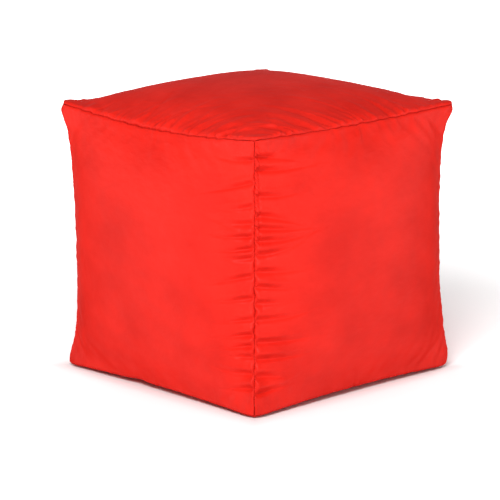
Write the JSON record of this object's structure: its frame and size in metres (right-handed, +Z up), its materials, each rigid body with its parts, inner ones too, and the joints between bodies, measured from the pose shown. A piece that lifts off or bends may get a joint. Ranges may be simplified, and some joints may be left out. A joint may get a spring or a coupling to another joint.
{
  "type": "bean bag cube",
  "caption": "Cube-shaped bean bag pouf with a sewn, zipped fabric cover, an inner liner and loose bead fill",
  "frame": {"origin": "on the floor under the middle of the bag, where the flat of the base panel rests", "axes": "+Z up; the front panel faces -Y, the right panel faces +X, and the back panel with the zips faces +Y"},
  "size_m": [0.476, 0.476, 0.464],
  "materials": {
    "cover_fabric": "tightly woven red synthetic cloth with a satin sheen",
    "thread": "red polyester sewing thread",
    "zip_tape": "matt red herringbone zip tape",
    "zip_coil": "red nylon coil, slightly glossy",
    "zip_metal": "plain die-cast zip metal, softly polished",
    "liner_fabric": "thin white nonwoven lining",
    "liner_zip_tape": "matt white zip tape",
    "liner_zip_coil": "white nylon coil",
    "beads": "white expanded polystyrene beads"
  },
  "bodies": {
    "bag": {"top_panel": "cover_fabric", "front_panel": "cover_fabric", "right_panel": "cover_fabric", "left_panel": "cover_fabric", "back_upper_panel": "cover_fabric", "back_lower_panel": "cover_fabric", "base_panel": "cover_fabric", "top_seam_stitching": "thread", "base_seam_stitching": "thread", "front_left_corner_stitching": "thread", "front_right_corner_stitching": "thread", "back_right_corner_stitching": "thread", "back_left_corner_stitching": "thread", "back_seam_stitching_left": "thread", "back_seam_stitching_right": "thread", "zip_tape_upper": "zip_tape", "zip_tape_lower": "zip_tape", "zip_coil_upper": "zip_coil", "zip_coil_lower": "zip_coil", "zip_top_stop": "zip_metal", "zip_bottom_stop": "zip_metal", "inner_liner": "liner_fabric", "liner_zip_tape_upper": "liner_zip_tape", "liner_zip_tape_lower": "liner_zip_tape", "liner_zip_coil_upper": "liner_zip_coil", "liner_zip_coil_lower": "liner_zip_coil", "liner_zip_top_stop": "zip_metal", "liner_zip_bottom_stop": "zip_metal", "bead_fill": "beads"},
    "outer_slider": {"zip_slider": "zip_metal"},
    "outer_pull": {"zip_pull": "zip_metal"},
    "liner_slider": {"liner_zip_slider": "zip_metal"}
  },
  "joints": [
    {"name": "zip_slide", "type": "slide", "parent": "bag", "child": "outer_slider", "axis": [-1, 0, 0], "range_m": [0, 0.238]},
    {"name": "pull_flip", "type": "hinge", "parent": "outer_slider", "child": "outer_pull", "pos_m": [0.1192, 0.23362, 0.075], "axis": [0, 0, -1], "range_deg": [0, 175]},
    {"name": "liner_zip_slide", "type": "slide", "parent": "bag", "child": "liner_slider", "axis": [-1, 0, 0], "range_m": [0, 0.238]}
  ]
}
